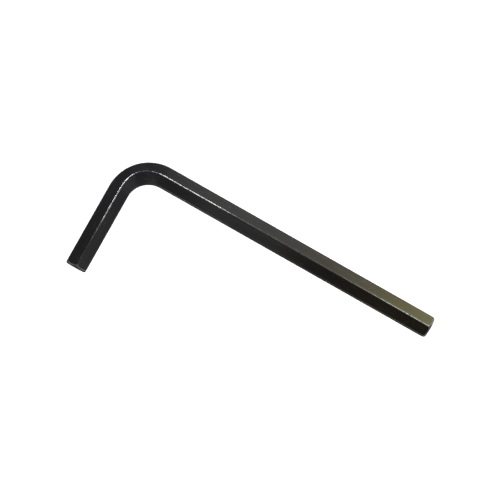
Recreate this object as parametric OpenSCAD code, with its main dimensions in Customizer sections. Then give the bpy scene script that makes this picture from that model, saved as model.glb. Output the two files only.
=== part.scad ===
// Hex key: one hexagonal bar of hardened steel, bent once into an L.
// It lies on two corners of its bar, so a corner runs along the top of both arms.
// Origin: on the surface it lies on, under the middle of its outline.
// The long arm runs along +X, and the short arm runs along -Y.

/* [Bar] */
// Distance across two opposite flats
across_flats = 6; // [4:0.5:8]
// Radius that rounds each long corner of the bar
corner_r = 0.45; // [0.2:0.05:0.8]

/* [Arms] */
// Long arm, from the outer flat of the short arm to the tip
long_arm = 96; // [60:1:160]
// Short arm, from the outer flat of the long arm to the tip
short_arm = 36.5; // [26:0.5:70]

/* [Bend] */
// Radius of the bend at the middle of the bar
bend_r = 9.5; // [7:0.25:14]

/* [Tips] */
// Width of the flat that is left in the middle of each end, as a share of across_flats
tip_share = 0.92; // [0.8:0.01:0.98]
// Slope of the end chamfers, measured from the bar's own axis
tip_angle = 45; // [30:1:60]

/* [Hidden] */

// Number of sides of the bar, and the angle between two corners
sides = 6;
side_angle = 360 / sides;
half_side_angle = side_angle / 2;

// A quarter turn joins the two arms
bend_angle = 90;

// Smoothness of the cones and of the bend, and of the small corner rounds
cone_fn = 96;
corner_fn = 32;

// Middle of each corner round, and the height of the bar from corner to corner
corner_centre = (across_flats / 2 - corner_r) / cos(half_side_angle);
bar_height = 2 * (corner_centre + corner_r);

// Where the two axes cross, seen from the origin
half_bar = across_flats / 2;
crossing_x = half_bar - long_arm / 2;
crossing_y = short_arm / 2 - half_bar;
crossing_z = bar_height / 2;

// Straight lengths that are left beyond the bend
long_straight = long_arm - half_bar - bend_r;
short_straight = short_arm - half_bar - bend_r;

tip_d = across_flats * tip_share;

// Section of the bar, with a corner at the top and at the bottom and a flat on each side.
module bar_section() {
    flats = [
        for (side = [0 : sides - 1], end = [-1, 1])
            let (
                corner = side_angle * side + half_side_angle,
                facing = corner + end * half_side_angle
            )
            [
                corner_centre * cos(corner) + corner_r * cos(facing),
                corner_centre * sin(corner) + corner_r * sin(facing)
            ]
    ];
    polygon(flats);
    for (side = [0 : sides - 1])
        rotate(side_angle * side + half_side_angle)
            translate([corner_centre, 0])
                circle(r = corner_r, $fn = corner_fn);
}

// One straight arm along +Z, with its chamfered tip at the far end.
module arm(straight) {
    intersection() {
        linear_extrude(height = straight)
            bar_section();
        cylinder(h = straight, d1 = tip_d + 2 * straight * tan(tip_angle), d2 = tip_d, $fn = cone_fn);
    }
}

// The bend: the same section carried a quarter turn about the bend's centre.
module bend() {
    rotate_extrude(angle = bend_angle, $fn = cone_fn)
        translate([bend_r, 0])
            bar_section();
}

module hex_key() {
    color("#33332f")
        translate([crossing_x, crossing_y, crossing_z]) {
            // long arm, from the bend to its tip
            translate([bend_r, 0, 0])
                rotate([0, 90, 0])
                    rotate(90)
                        arm(long_straight);
            // bend, about a centre that lies inside the L
            translate([bend_r, -bend_r, 0])
                rotate(90)
                    bend();
            // short arm
            translate([0, -bend_r, 0])
                rotate([90, 0, 0])
                    arm(short_straight);
        }
}

hex_key();
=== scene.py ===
import math

import bpy
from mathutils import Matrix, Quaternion, Vector


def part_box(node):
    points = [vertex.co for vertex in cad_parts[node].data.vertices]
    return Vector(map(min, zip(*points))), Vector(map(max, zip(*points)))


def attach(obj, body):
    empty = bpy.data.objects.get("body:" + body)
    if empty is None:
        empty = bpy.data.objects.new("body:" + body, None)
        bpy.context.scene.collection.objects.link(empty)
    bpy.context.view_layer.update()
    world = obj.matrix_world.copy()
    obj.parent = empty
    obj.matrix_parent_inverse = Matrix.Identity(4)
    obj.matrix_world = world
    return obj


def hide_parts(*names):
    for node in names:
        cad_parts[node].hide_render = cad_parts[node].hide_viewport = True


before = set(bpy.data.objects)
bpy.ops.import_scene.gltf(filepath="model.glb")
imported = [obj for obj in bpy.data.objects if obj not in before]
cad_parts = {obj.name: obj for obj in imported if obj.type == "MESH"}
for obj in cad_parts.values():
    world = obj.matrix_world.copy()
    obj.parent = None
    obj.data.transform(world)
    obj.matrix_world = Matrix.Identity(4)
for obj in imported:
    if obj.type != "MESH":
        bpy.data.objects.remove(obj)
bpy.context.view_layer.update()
barLow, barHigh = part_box("hex_key")

mm = 0.001
halfTurn = math.pi
quarterTurn = math.pi / 2
white = (1.0, 1.0, 1.0)

print("frame loaded: key", [round(v / mm, 2) for v in barHigh - barLow], "mm")


# Small helpers for node trees

class Wire:
    # a socket that can be written in sums, so that a formula reads as a formula
    def __init__(self, tree, socket):
        self.tree = tree
        self.socket = socket

    def join(self, operation, *others):
        node = self.tree.nodes.new("ShaderNodeMath")
        node.operation = operation
        for place, value in enumerate((self,) + others):
            feed(self.tree, value, node.inputs[place])
        return Wire(self.tree, node.outputs[0])

    def __add__(self, other):
        return self.join("ADD", other)

    def __sub__(self, other):
        return self.join("SUBTRACT", other)

    def __mul__(self, other):
        return self.join("MULTIPLY", other)

    def __truediv__(self, other):
        return self.join("DIVIDE", other)

    def atMost(self, other):
        return self.join("MINIMUM", other)

    def atLeast(self, other):
        return self.join("MAXIMUM", other)

    def absolute(self):
        return self.join("ABSOLUTE")

    def sine(self):
        return self.join("SINE")

    def cosine(self):
        return self.join("COSINE")

    def root(self):
        return self.join("SQRT")

    def clamped(self):
        return self.atLeast(0.0).atMost(1.0)

    def leftOver(self):
        return self * -1.0 + 1.0   # what is missing from one

    def above(self, level, gain):
        return ((self - level) * gain).clamped()   # a high gain makes crisp spots

    def dimmed(self, mask, share):
        return self * (mask * -share + 1.0)   # share is what the mask takes away


def feed(tree, value, target):
    if isinstance(value, Wire):
        tree.links.new(value.socket, target)
    elif isinstance(value, bpy.types.NodeSocket):
        tree.links.new(value, target)
    else:
        target.default_value = value


def addNode(tree, kind, inputs=None, **settings):
    node = tree.nodes.new(kind)
    for name, value in settings.items():
        setattr(node, name, value)
    for name, value in (inputs or {}).items():
        feed(tree, value, node.inputs[name])
    return node


def axesOf(tree, vector):
    return (Wire(tree, s) for s in addNode(tree, "ShaderNodeSeparateXYZ", {0: vector}).outputs)


def distance(sideways, forwards):
    return (sideways * sideways + forwards * forwards).root()


def colourRamp(tree, factor, stops):
    node = addNode(tree, "ShaderNodeValToRGB", {"Fac": factor})
    ramp = node.color_ramp
    while len(ramp.elements) < len(stops):
        ramp.elements.new(1.0)
    for element, (place, colour) in zip(ramp.elements, stops):
        element.position = place
        element.color = (*colour, 1.0)
    return node.outputs["Color"]


def greyRamp(tree, factor, stops):
    return Wire(tree, colourRamp(tree, factor, [(place, (grey,) * 3) for place, grey in stops]))


def mixColour(tree, share, first, second):
    node = addNode(tree, "ShaderNodeMix", data_type="RGBA")
    shareSocket, firstSocket, secondSocket = (node.inputs[i] for i in (0, 6, 7))
    for value, target in ((share, shareSocket), (first, firstSocket), (second, secondSocket)):
        feed(tree, (*value, 1.0) if isinstance(value, tuple) else value, target)
    return node.outputs[2]   # the colour output


# Camera, at the place the photograph was taken from

photoCamera = {
    "aim": (-5.72 * mm, 9.51 * mm, 3.39 * mm),
    "distance": 823.0 * mm,
    "azimuth": -30.8,     # degrees, 0 looks along +Y
    "elevation": 83.98,   # degrees above the surface
    "roll": 60.2,         # degrees, turned about the line of sight
    "lens": 216.0,
    "sensor": 36.0,       # in mm, as the lens is
    "nearest": 10.0 * mm,
    "farthest": 20.0,     # in metres
}


def makeCamera(setup):
    data = bpy.data.cameras.new("photoCamera")
    data.lens = setup["lens"]
    data.sensor_width = setup["sensor"]
    data.clip_start = setup["nearest"]
    data.clip_end = setup["farthest"]
    camera = bpy.data.objects.new("photoCamera", data)
    turn = math.radians(setup["azimuth"])
    lift = math.radians(setup["elevation"])
    back = Vector((math.sin(turn) * math.cos(lift), -math.cos(turn) * math.cos(lift), math.sin(lift)))
    camera.location = Vector(setup["aim"]) + back * setup["distance"]
    camera.rotation_mode = "QUATERNION"
    roll = Quaternion((0.0, 0.0, 1.0), math.radians(setup["roll"]))
    camera.rotation_quaternion = (-back).to_track_quat("-Z", "Y") @ roll
    bpy.context.scene.collection.objects.link(camera)
    bpy.context.scene.camera = camera
    return camera


camera = makeCamera(photoCamera)
print("camera placed", [round(v, 3) for v in camera.location])


# Blackened steel: a drawn bar, oxidised, with bright steel along its corners that is partly rubbed wear
# and partly a painted highlight

blackSteelLook = {
    # the oxide's cast along the bar: olive brown at the long tip, blue black in the bend,
    # and plum at the short tip
    "oxide": [
        (0.0, (0.074, 0.064, 0.046)),
        (0.08, (0.074, 0.061, 0.042)),
        (0.2, (0.068, 0.060, 0.048)),
        (0.3, (0.065, 0.061, 0.053)),
        (0.4, (0.061, 0.060, 0.058)),
        (0.58, (0.060, 0.060, 0.059)),
        (0.8, (0.056, 0.056, 0.061)),
        (0.93, (0.058, 0.058, 0.059)),
        (1.0, (0.062, 0.058, 0.060)),
    ],
    # bare steel for the corners and chamfer edges: partly wear, partly a painted highlight
    "wearAndHighlightColour": (0.58, 0.58, 0.58),
    "cutColour": (0.11, 0.105, 0.1),   # the chamfers and end faces, cut after the bar was drawn
    "edgeTint": (0.5, 0.5, 0.5),       # how light the steel gets at a grazing angle

    # how much each pattern lightens the oxide, on top of the least shade
    "leastShade": 0.32,
    "cloudShade": 0.44,
    "drawnLineShade": 0.36,
    "longLineShade": 0.32,
    "bandShade": 0.24,
    "scuffShade": 0.27,
    "pitShade": 0.6,           # pits and end faces are darker instead
    "endFaceShade": 0.55,

    # how bright the corner steel is along the bar, partly wear and partly painted highlight: most on
    # both sides of the bend, then at the long tip
    "wearAndHighlightZone": [
        (0.0, 0.76),
        (0.12, 0.6),
        (0.2, 0.25),
        (0.49, 0.27),
        (0.54, 1.0),
        (0.67, 0.9),
        (0.7, 0.75),
        (0.717, 0.5),
        (0.742, 0.38),
        (0.773, 1.0),
        (0.87, 1.0),
        (0.89, 0.5),
        (0.925, 0.4),
        (0.94, 0.0),
    ],
    "zoneReach": 0.35,         # how far a zone of bright corner steel joins its patches up
    "patchLevel": 0.5,
    "patchGain": 3.0,
    "nickLevel": 0.286,        # nicks break up the bright line on the corners
    "nickGain": 4.2,
    "tipEdgeGain": 1.6,
    "pitLevel": 0.68,
    "pitGain": 9.0,
    "scuffLevel": 0.62,
    "scuffGain": 12.0,
    "cutLevel": 0.2,
    "cutGain": 1.9,

    "roughness": 0.22,
    "wearAndHighlightRoughness": 0.26,
    "cutRoughness": 0.42,
    "cloudRoughness": 0.08,    # what each pattern adds
    "grainRoughness": 0.05,
    "pitRoughness": 0.15,
    "scuffRoughness": 0.06,

    "drawnLineDepth": 0.0016 * mm,
    "longLineDepth": 0.00128 * mm,
    "grainDepth": 0.0003 * mm,
    "grindDepth": 0.004 * mm,
    "scuffDepth": 0.0012 * mm,
    "pitDepth": 0.002 * mm,
}

steelPatterns = {
    # repeats in a metre; scale along, across and up the bar; detail; roughness; distortion
    "drawnLines": (2600.0, (0.02, 1.0, 1.0), 3.0, 0.6, 0.0),
    "longLines": (900.0, (0.008, 1.0, 1.0), 2.0, 0.5, 0.0),
    "grain": (5200.0, (0.6, 1.0, 1.0), 2.0, 0.5, 0.0),
    "clouds": (170.0, (0.5, 1.0, 1.0), 4.0, 0.55, 0.4),
    "bands": (60.0, (1.0, 0.3, 0.3), 2.0, 0.5, 0.0),
    "pits": (1500.0, (0.8, 1.0, 1.0), 2.0, 0.7, 0.0),
    "scuffs": (1100.0, (0.25, 0.9, 0.9), 1.0, 0.5, 2.2),
    "grindLines": (3800.0, (1.0, 0.04, 1.0), 2.0, 0.6, 0.0),   # left by cutting the end faces
    "wearAndHighlightPatches": (700.0, (0.12, 1.0, 1.0), 4.0, 0.6, 0.0),
    "nicks": (4200.0, (0.22, 0.15, 0.15), 2.0, 0.6, 0.0),
    "cutPatches": (900.0, (1.0, 1.0, 1.0), 3.0, 0.6, 0.0),
}


def makeBlackSteel(look, patterns):
    material = bpy.data.materials.new("blackSteel")
    material.use_nodes = True
    tree = material.node_tree
    tree.nodes.clear()

    def attribute(name, output="Fac"):
        return Wire(tree, addNode(tree, "ShaderNodeAttribute", attribute_name=name).outputs[output])

    along = attribute("alongBar")
    corner = attribute("cornerShare")
    tip = attribute("tipShare")
    tipEdge = attribute("tipEdge")
    endFace = attribute("endFace")
    straight = attribute("straightBar", "Vector")

    def pattern(name):
        scale, stretch, detail, roughness, distortion = patterns[name]
        shaped = addNode(tree, "ShaderNodeMapping", {"Vector": straight, "Scale": stretch})
        made = addNode(
            tree,
            "ShaderNodeTexNoise",
            {
                "Vector": shaped.outputs[0],
                "Scale": scale,
                "Detail": detail,
                "Roughness": roughness,
                "Distortion": distortion,
            },
        )
        return Wire(tree, made.outputs["Fac"])

    drawnLines = pattern("drawnLines")
    longLines = pattern("longLines")
    grain = pattern("grain")
    clouds = pattern("clouds")
    pits = pattern("pits").above(look["pitLevel"], look["pitGain"])
    scuffs = pattern("scuffs").above(look["scuffLevel"], look["scuffGain"])

    # oxide
    shade = clouds * look["cloudShade"] + drawnLines * look["drawnLineShade"]
    shade = shade + longLines * look["longLineShade"] + pattern("bands") * look["bandShade"]
    shade = (shade + look["leastShade"]).dimmed(pits, look["pitShade"]) + scuffs * look["scuffShade"]
    oxide = colourRamp(tree, along, look["oxide"])
    shaded = addNode(tree, "ShaderNodeVectorMath", {0: oxide, 3: shade}, operation="SCALE").outputs[0]

    # bright steel on the corners and on the edges of the chamfers: partly rubbed wear, partly a painted
    # highlight graded along the bar
    zone = greyRamp(tree, along, look["wearAndHighlightZone"])
    wearAndHighlightPatches = pattern("wearAndHighlightPatches")
    patches = (zone * look["zoneReach"] + wearAndHighlightPatches).above(look["patchLevel"], look["patchGain"])
    nicks = pattern("nicks").above(look["nickLevel"], look["nickGain"])
    wearAndHighlight = corner * zone * patches * nicks * tip.leftOver()
    wearAndHighlight = wearAndHighlight.atLeast(tipEdge * (wearAndHighlightPatches * look["tipEdgeGain"]).clamped()).clamped()

    # cut metal on the chamfers and end faces
    cut = tip * pattern("cutPatches").above(look["cutLevel"], look["cutGain"])
    cut = cut.dimmed(endFace, look["endFaceShade"])

    baseColour = mixColour(tree, wearAndHighlight, shaded, look["wearAndHighlightColour"])
    baseColour = mixColour(tree, cut, baseColour, look["cutColour"])

    roughness = clouds * look["cloudRoughness"] + grain * look["grainRoughness"]
    roughness = roughness - (look["cloudRoughness"] + look["grainRoughness"]) / 2   # their average
    roughness = roughness + pits * look["pitRoughness"] + scuffs * look["scuffRoughness"]
    roughness = roughness + wearAndHighlight * (look["wearAndHighlightRoughness"] - look["roughness"])
    roughness = roughness + tip * (look["cutRoughness"] - look["roughness"]) + look["roughness"]

    height = drawnLines * look["drawnLineDepth"] + longLines * look["longLineDepth"]
    height = height - pits * look["pitDepth"] - scuffs * look["scuffDepth"] + grain * look["grainDepth"]
    height = height + endFace * pattern("grindLines") * look["grindDepth"]
    relief = addNode(tree, "ShaderNodeBump", {"Strength": 1.0, "Distance": 1.0, "Height": height})

    shader = addNode(
        tree,
        "ShaderNodeBsdfPrincipled",
        {
            "Base Color": baseColour,
            "Metallic": 1.0,
            "Specular Tint": (*look["edgeTint"], 1.0),
            "Roughness": roughness,
            "Normal": relief.outputs[0],
        },
    )
    output = addNode(tree, "ShaderNodeOutputMaterial")
    tree.links.new(shader.outputs[0], output.inputs[0])
    return material


# The key itself: a cylinder whose every point is carried to its place on the bent hexagonal bar

keyShape = {
    "Across Flats": 6.0 * mm,
    "Corner Radius": 0.45 * mm,
    "Long Arm": 96.0 * mm,
    "Short Arm": 36.5 * mm,
    "Bend Radius": 9.5 * mm,
    "Tip Share": 0.92,          # flat of each end, as a share of the width across flats
    "Tip Rounding": 0.05 * mm,
    "Ridge Shift": 0.65 * mm,   # how far the bend pushes the top and bottom corners outwards
    "Bend Spread": 0.05,        # how much the bend thickens its inside and thins its outside
    "Rows": 380,
    "Columns": 96,              # a multiple of twelve, so that each corner and each flat has its own
    "End Rings": 8,
}

keyWearAndHighlight = {
    "sideCorners": 0.2,     # bright steel on the corners at the sides, partly wear and partly painted highlight; those at the top and bottom have 1
    "cornerPeak": 1.4,      # above 1, the middle of a corner is bright steel all over
    "cornerFade": 1.7,      # what is lost of that over the arc of the corner
    "tipBlend": 1.6,        # the next three are in tip roundings
    "chamferFade": 0.6,
    "tipEdgeWidth": 3.0,
    "faceEdge": 0.995,      # where an end face stops, as a share of its radius
    "faceGain": 40.0,
}


def makeBarTree(shape, wearAndHighlightSettings):
    tree = bpy.data.node_groups.new("bentHexBar", "GeometryNodeTree")
    for name, value in shape.items():
        kind = "NodeSocketInt" if isinstance(value, int) else "NodeSocketFloat"
        tree.interface.new_socket(name, in_out="INPUT", socket_type=kind).default_value = value
    tree.interface.new_socket("Steel", in_out="INPUT", socket_type="NodeSocketMaterial")
    tree.interface.new_socket("Geometry", in_out="OUTPUT", socket_type="NodeSocketGeometry")
    given = tree.nodes.new("NodeGroupInput").outputs

    def size(name):
        return Wire(tree, given[name])

    tube = addNode(
        tree,
        "GeometryNodeMeshCylinder",
        {
            "Vertices": given["Columns"],
            "Side Segments": given["Rows"],
            "Fill Segments": given["End Rings"],
            "Radius": 1.0,
            "Depth": 1.0,
        },
        fill_type="TRIANGLE_FAN",
    )
    spotX, spotY, spotZ = axesOf(tree, addNode(tree, "GeometryNodeInputPosition").outputs[0])

    # section: which corner a column belongs to, and how far it is from that corner, from -1 to 1
    sideAngle = halfTurn / 3
    halfSide = sideAngle / 2
    turn = spotY.join("ARCTAN2", spotX)
    cornerAngle = ((turn - halfSide) / sideAngle).join("ROUND") * sideAngle + halfSide
    offset = (turn - cornerAngle) / halfSide

    # half of the columns make the arc of the corner, the others make the flats
    twice = offset.absolute() * 2.0
    arcShare = twice.atMost(1.0)
    flatShare = (twice - 1.0).atLeast(0.0)

    halfFlats = size("Across Flats") / 2.0
    cornerR = size("Corner Radius")
    cornerCentre = (halfFlats - cornerR) / math.cos(halfSide)
    arcAngle = arcShare * halfSide
    arcEndX = cornerCentre + cornerR * math.cos(halfSide)
    arcEndY = cornerR * math.sin(halfSide)
    towards = cornerCentre + cornerR * arcAngle.cosine()
    towards = towards + flatShare * (halfFlats * math.cos(halfSide) - arcEndX)
    sideways = cornerR * arcAngle.sine() + flatShare * (halfFlats * math.sin(halfSide) - arcEndY)
    sideways = sideways * offset.join("SIGN")
    cosCorner = cornerAngle.cosine()
    sinCorner = cornerAngle.sine()
    across = towards * cosCorner - sideways * sinCorner   # towards the outside of the bend
    height = towards * sinCorner + sideways * cosCorner
    columnR = distance(towards, sideways)

    # length: rows crowd together at both tips
    longStraight = size("Long Arm") - halfFlats - size("Bend Radius")
    shortStraight = size("Short Arm") - halfFlats - size("Bend Radius")
    bendLength = size("Bend Radius") * quarterTurn
    wholeLength = longStraight + bendLength + shortStraight
    along = wholeLength * (((spotZ + 0.5) * halfTurn).cosine() * -0.5 + 0.5)
    fromTip = along.atMost(wholeLength - along)
    onLongHalf = along.join("LESS_THAN", wholeLength * 0.5)

    # tips: a 45 degree cone; rows are drawn in so that one follows the edge it leaves on the flats
    faceR = halfFlats * size("Tip Share")
    chamfer = columnR - faceR
    longestChamfer = cornerCentre + cornerR - faceR
    step = fromTip / longestChamfer
    drawnIn = chamfer * step.atMost(1.0)
    drawnIn = drawnIn + (longestChamfer * 2.0 - chamfer) * (step - 1.0).clamped()
    drawnIn = drawnIn + longestChamfer * (step - 2.0).atLeast(0.0)
    along = onLongHalf * drawnIn + onLongHalf.leftOver() * (wholeLength - drawnIn)

    rounding = size("Tip Rounding")
    inRound = (drawnIn / rounding).atMost(1.0).leftOver()
    roundDrop = rounding * (inRound * inRound).leftOver().root().leftOver()
    cone = faceR + drawnIn - roundDrop
    limit = columnR.join("SMOOTH_MIN", cone, rounding * wearAndHighlightSettings["tipBlend"])
    ring = distance(spotX, spotY)   # below one only on the end faces
    shrink = limit / columnR * ring
    across = across * shrink
    height = height * shrink

    # bend: the corners at the top and bottom move outwards, the inside thickens and the outside thins
    bendShare = ((along - longStraight) / bendLength).clamped()
    bell = (bendShare * halfTurn).sine()
    bell = bell * bell
    lean = across / halfFlats
    pushed = across + size("Ridge Shift") * bell * lean.absolute().leftOver().atLeast(0.0)
    spread = height * (lean * bell * size("Bend Spread")).leftOver()

    # place: long arm along +X, short arm along -Y
    bendR = size("Bend Radius")
    bendAngle = bendShare * quarterTurn
    beforeBend = longStraight - along.atMost(longStraight)
    afterBend = (along - longStraight - bendLength).atLeast(0.0)
    crossX = halfFlats - size("Long Arm") / 2.0
    crossY = size("Short Arm") / 2.0 - halfFlats
    crossZ = cornerCentre + cornerR
    placeX = crossX + bendR + beforeBend - bendAngle.sine() * (bendR + pushed)
    placeY = crossY - bendR - afterBend + bendAngle.cosine() * (bendR + pushed)
    placeZ = crossZ + spread

    # what the steel needs to know about each point
    straightBar = addNode(tree, "ShaderNodeCombineXYZ", {"X": along, "Y": across, "Z": height})
    atTop = sinCorner.absolute() * 2.0 - 1.0   # 1 on the corners at the top and bottom, 0 on the others
    # the corner steel share: partly rubbed wear, partly a painted highlight
    wearAndHighlightByCorner = atTop * (1.0 - wearAndHighlightSettings["sideCorners"]) + wearAndHighlightSettings["sideCorners"]
    cornerShare = (arcShare * -wearAndHighlightSettings["cornerFade"] + wearAndHighlightSettings["cornerPeak"]).clamped() * wearAndHighlightByCorner
    toEdge = chamfer - drawnIn
    tipShare = (toEdge / (rounding * wearAndHighlightSettings["chamferFade"])).clamped()
    tipEdge = (toEdge.absolute() / (rounding * wearAndHighlightSettings["tipEdgeWidth"])).leftOver().clamped()
    endFace = ring.above(wearAndHighlightSettings["faceEdge"], -wearAndHighlightSettings["faceGain"])
    mesh = tube.outputs["Mesh"]
    for name, kind, value in (
        ("alongBar", "FLOAT", along / wholeLength),
        ("tipShare", "FLOAT", tipShare),
        ("tipEdge", "FLOAT", tipEdge),
        ("endFace", "FLOAT", endFace),
        ("cornerShare", "FLOAT", cornerShare),
        ("straightBar", "FLOAT_VECTOR", straightBar.outputs[0]),
    ):
        store = addNode(
            tree,
            "GeometryNodeStoreNamedAttribute",
            {"Geometry": mesh, "Name": name},
            data_type=kind,
            domain="POINT",
        )
        feed(tree, value, [s for s in store.inputs if s.name == "Value" and s.enabled][0])
        mesh = store.outputs[0]

    place = addNode(tree, "ShaderNodeCombineXYZ", {"X": placeX, "Y": placeY, "Z": placeZ})
    moved = addNode(tree, "GeometryNodeSetPosition", {"Geometry": mesh, "Position": place.outputs[0]})
    outward = addNode(tree, "GeometryNodeFlipFaces", {0: moved.outputs[0]})
    smooth = addNode(tree, "GeometryNodeSetShadeSmooth", {0: outward.outputs[0]})
    real = addNode(tree, "GeometryNodeRealizeInstances", {0: smooth.outputs[0]})
    dressed = addNode(
        tree,
        "GeometryNodeSetMaterial",
        {"Geometry": real.outputs[0], "Material": given["Steel"]},
    )
    output = tree.nodes.new("NodeGroupOutput")
    tree.links.new(dressed.outputs[0], output.inputs[0])
    return tree


def socketId(tree, name):
    return [s.identifier for s in tree.interface.items_tree if s.name == name and s.in_out == "INPUT"][0]


def makeKey(shape, wearAndHighlightSettings, steel):
    tree = makeBarTree(shape, wearAndHighlightSettings)
    carrier = bpy.data.objects.new("hexKeyCarrier", bpy.data.meshes.new("hexKeyCarrier"))
    bpy.context.scene.collection.objects.link(carrier)
    modifier = carrier.modifiers.new("bentHexBar", "NODES")
    modifier.node_group = tree
    for name, value in shape.items():
        modifier[socketId(tree, name)] = value
    modifier[socketId(tree, "Steel")] = steel
    bpy.context.view_layer.update()
    evaluated = carrier.evaluated_get(bpy.context.evaluated_depsgraph_get())
    mesh = bpy.data.meshes.new_from_object(evaluated)
    bpy.data.objects.remove(carrier)
    key = bpy.data.objects.new("hexKey", mesh)
    bpy.context.scene.collection.objects.link(key)
    return key


blackSteel = makeBlackSteel(blackSteelLook, steelPatterns)
hexKey = makeKey(keyShape, keyWearAndHighlight, blackSteel)
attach(hexKey, "root")
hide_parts("hex_key")
print("key made:", len(hexKey.data.vertices), "points,", len(hexKey.data.polygons), "faces")


# Floor

floorLook = {
    "radius": 2.5,
    "colour": (0.85, 0.85, 0.85),
    "glow": 0.68,                         # keeps the paper white, so that the shadow stays faint
    "reflectedColour": (0.06, 0.06, 0.06),
    "reflectedGlow": 0.85,                # how bright the floor looks in the steel, away from the key
    "shadeFrom": 4.0 * mm,                # the strip beside the key gets a painted shade where the steel reflects it
    "shadeTo": 10.0 * mm,
    "roughness": 0.9,
}


def makeFloor(look):
    mesh = bpy.data.meshes.new("floor")
    corners = [(-1, -1), (1, -1), (1, 1), (-1, 1)]
    points = [(x * look["radius"], y * look["radius"], 0.0) for x, y in corners]
    mesh.from_pydata(points, [], [(0, 1, 2, 3)])
    floor = bpy.data.objects.new("floor", mesh)
    bpy.context.scene.collection.objects.link(floor)
    material = bpy.data.materials.new("paleFloor")
    material.use_nodes = True
    tree = material.node_tree
    shader = tree.nodes["Principled BSDF"]
    inSteel = addNode(tree, "ShaderNodeLightPath").outputs["Is Glossy Ray"]
    colour = mixColour(tree, inSteel, look["colour"], look["reflectedColour"])
    tree.links.new(colour, shader.inputs["Base Color"])

    # distance from the middle line of the bent bar, counted from the centre of the bend
    spotX, spotY, _ = axesOf(tree, addNode(tree, "ShaderNodeTexCoord").outputs["Object"])
    barHalf = keyShape["Across Flats"] / 2
    bendR = keyShape["Bend Radius"]
    insideX = (spotX - (barLow.x + barHalf + bendR)) * -1.0
    insideY = spotY - (barHigh.y - barHalf - bendR)
    fromCentre = distance(insideX.atLeast(0.0), insideY.atLeast(0.0))
    beyondTips = (spotX - barHigh.x).atLeast((spotY - barLow.y) * -1.0)
    toMiddle = (fromCentre - bendR).absolute().atLeast(beyondTips + barHalf)
    # painted shade: the floor the steel reflects is darkened by its distance from the key
    litOutsidePaintedShade = (toMiddle - look["shadeFrom"]) / (look["shadeTo"] - look["shadeFrom"])

    glow = Wire(tree, inSteel) * (litOutsidePaintedShade.clamped() * look["reflectedGlow"] - look["glow"]) + look["glow"]
    tree.links.new(glow.socket, shader.inputs["Emission Strength"])
    shader.inputs["Emission Color"].default_value = (*white, 1.0)
    shader.inputs["Roughness"].default_value = look["roughness"]
    shader.inputs["Specular IOR Level"].default_value = 0.0
    mesh.materials.append(material)
    return floor


makeFloor(floorLook)
print("floor laid")


# Lights: one wide soft light for the floor, and cards placed where the steel mirrors them to the camera

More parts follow.
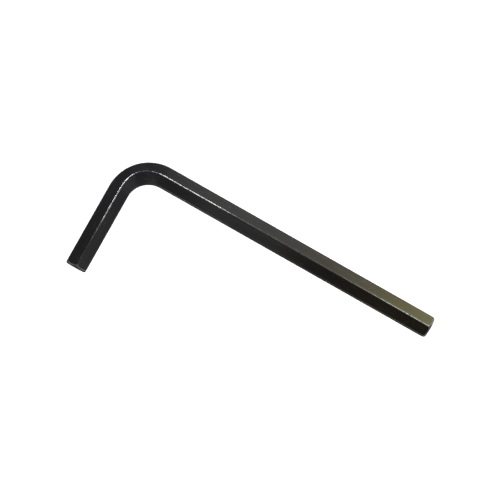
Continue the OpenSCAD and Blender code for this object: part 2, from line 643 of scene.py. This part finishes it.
lightRig = {
    "floorLight": {"size": (1.6, 1.6), "height": 1.2, "radiance": 0.94},
    "cards": {
        # point: spot on the key in mm, facing: the way the steel faces there or near it,
        # distance: from the spot to the card, move: how far the card is then shifted,
        # size: of the card, all three in metres
        "upperLong": {
            "point": (4, 16, 5), "facing": (0, 0.5, 0.866), "distance": 0.15,
            "move": (0.039, 0.0, 0.03), "size": (0.165, 0.13), "radiance": 0.7, "tint": (1.0, 1.02, 1.0),
        },
        "upperMiddle": {
            "point": (16, 16, 5), "facing": (0, 0.5, 0.866), "distance": 0.15,
            "move": (0.0, 0.0, 0.03), "size": (0.06, 0.13), "radiance": 0.13, "tint": (1.0, 1.0, 0.95),
        },
        "upperTip": {
            "point": (48, 16, 5), "facing": (0, 0.5, 0.866), "distance": 0.15,
            "move": (0.02, 0.0, 0.03), "size": (0.07, 0.13), "radiance": 1.6, "tint": (0.93, 1.15, 0.72),
        },
        "aboveTip": {
            "point": (42, 15.25, 6.8), "facing": (0, 0.1, 0.995), "distance": 0.15,
            "move": (0.0, 0.0, 0.0), "size": (0.06, 0.12), "radiance": 1.5, "tint": (1.0, 1.0, 0.9),
        },
        "lowerMiddle": {
            "point": (-10, 14, 5), "facing": (0, -0.5, 0.866), "distance": 0.07,
            "move": (0.0, 0.0, 0.0), "size": (0.03, 0.03), "radiance": 0.27, "tint": white,
        },
        "lowerBend": {
            "point": (-34, 14, 5), "facing": (0, -0.5, 0.866), "distance": 0.07,
            "move": (0.0, 0.0, 0.0), "size": (0.04, 0.03), "radiance": 0.1, "tint": white,
        },
        "shortInner": {
            "point": (-43, -14, 5), "facing": (0.5, 0, 0.866), "distance": 0.3,
            "move": (0.0, -0.053, 0.0), "size": (0.16, 0.18), "radiance": 0.34, "tint": white,
        },
        "shortOuter": {
            "point": (-47, -5, 5), "facing": (-0.5, 0, 0.866), "distance": 0.2,
            "move": (0.0, 0.0, 0.0), "size": (0.2, 0.12), "radiance": 0.07, "tint": (0.95, 0.97, 1.05),
        },
        "upperBend": {
            "point": (-31, 16, 5), "facing": (0, 0.5, 0.866), "distance": 0.15,
            "move": (-0.027, 0.0, 0.02), "size": (0.06, 0.12), "radiance": 0.2, "tint": white,
        },
        "bendOuter": {
            "point": (-40, 16, 5), "facing": (-0.211, 0.453, 0.866), "distance": 0.15,
            "move": (0.03, 0.01, 0.0), "size": (0.12, 0.1), "radiance": 0.07, "tint": white,
        },
        "bendInner": {
            "point": (-40.6, 11.9, 5), "facing": (0.255, -0.315, 0.914), "distance": 0.2,
            "move": (0.0, 0.0, 0.0), "size": (0.07, 0.07), "radiance": 0.13, "tint": white,
        },
        "longLamp": {
            "point": (-27, 15.25, 6.8), "facing": (0, 0.17, 0.985), "distance": 0.16,
            "move": (0.0, 0.0, 0.0), "size": (0.03, 0.05), "radiance": 7.6, "tint": white,
        },
        "shortLamp": {
            "point": (-44, 20, 6.8), "facing": (-0.25, 0.05, 0.968), "distance": 0.16,
            "move": (0.0, 0.0, 0.0), "size": (0.045, 0.055), "radiance": 17.0, "tint": white,
        },
    },
    # what the steel reflects of the room, by the height of the direction: 0 is level, 1 is straight up
    "sky": [
        (0.2, (0.4, 0.4, 0.4)),
        (0.3, (0.12, 0.115, 0.12)),
        (0.86, (0.12, 0.115, 0.12)),
        (0.95, (0.4, 0.4, 0.4)),
    ],
}


def addAreaLight(name, place, target, size, radiance):
    data = bpy.data.lights.new(name, "AREA")
    data.shape = "RECTANGLE"
    data.size, data.size_y = size
    data.energy = radiance * math.pi * size[0] * size[1]
    light = bpy.data.objects.new(name, data)
    light.location = place
    light.rotation_mode = "QUATERNION"
    light.rotation_quaternion = (Vector(target) - Vector(place)).to_track_quat("-Z", "Y")
    light.visible_camera = False
    bpy.context.scene.collection.objects.link(light)
    return light


def mirroredSpot(point, facing, away):
    ray = (point - camera.location).normalized()
    return point + ray.reflect(Vector(facing).normalized()) * away


def lightScene(rig):
    wide = rig["floorLight"]
    place = (0, 0, wide["height"])
    floorLight = addAreaLight("floorLight", place, (0, 0, 0), wide["size"], wide["radiance"])
    floorLight.visible_glossy = False
    for name, card in rig["cards"].items():
        point = Vector(card["point"]) * mm
        place = mirroredSpot(point, card["facing"], card["distance"])
        light = addAreaLight(name, place, point, card["size"], card["radiance"])
        light.data.color = card["tint"]
        light.location += Vector(card["move"])
        light.visible_diffuse = False
    world = bpy.data.worlds.new("paleRoom")
    world.use_nodes = True
    tree = world.node_tree
    direction = addNode(tree, "ShaderNodeTexCoord").outputs["Generated"]
    _, _, upward = axesOf(tree, direction)
    sky = colourRamp(tree, upward, rig["sky"])
    inSteel = addNode(tree, "ShaderNodeLightPath").outputs["Is Glossy Ray"]
    seen = mixColour(tree, inSteel, white, sky)
    tree.links.new(seen, tree.nodes["Background"].inputs["Color"])
    bpy.context.scene.world = world
    bpy.context.scene.view_settings.view_transform = "Standard"


lightScene(lightRig)
print("lights placed")
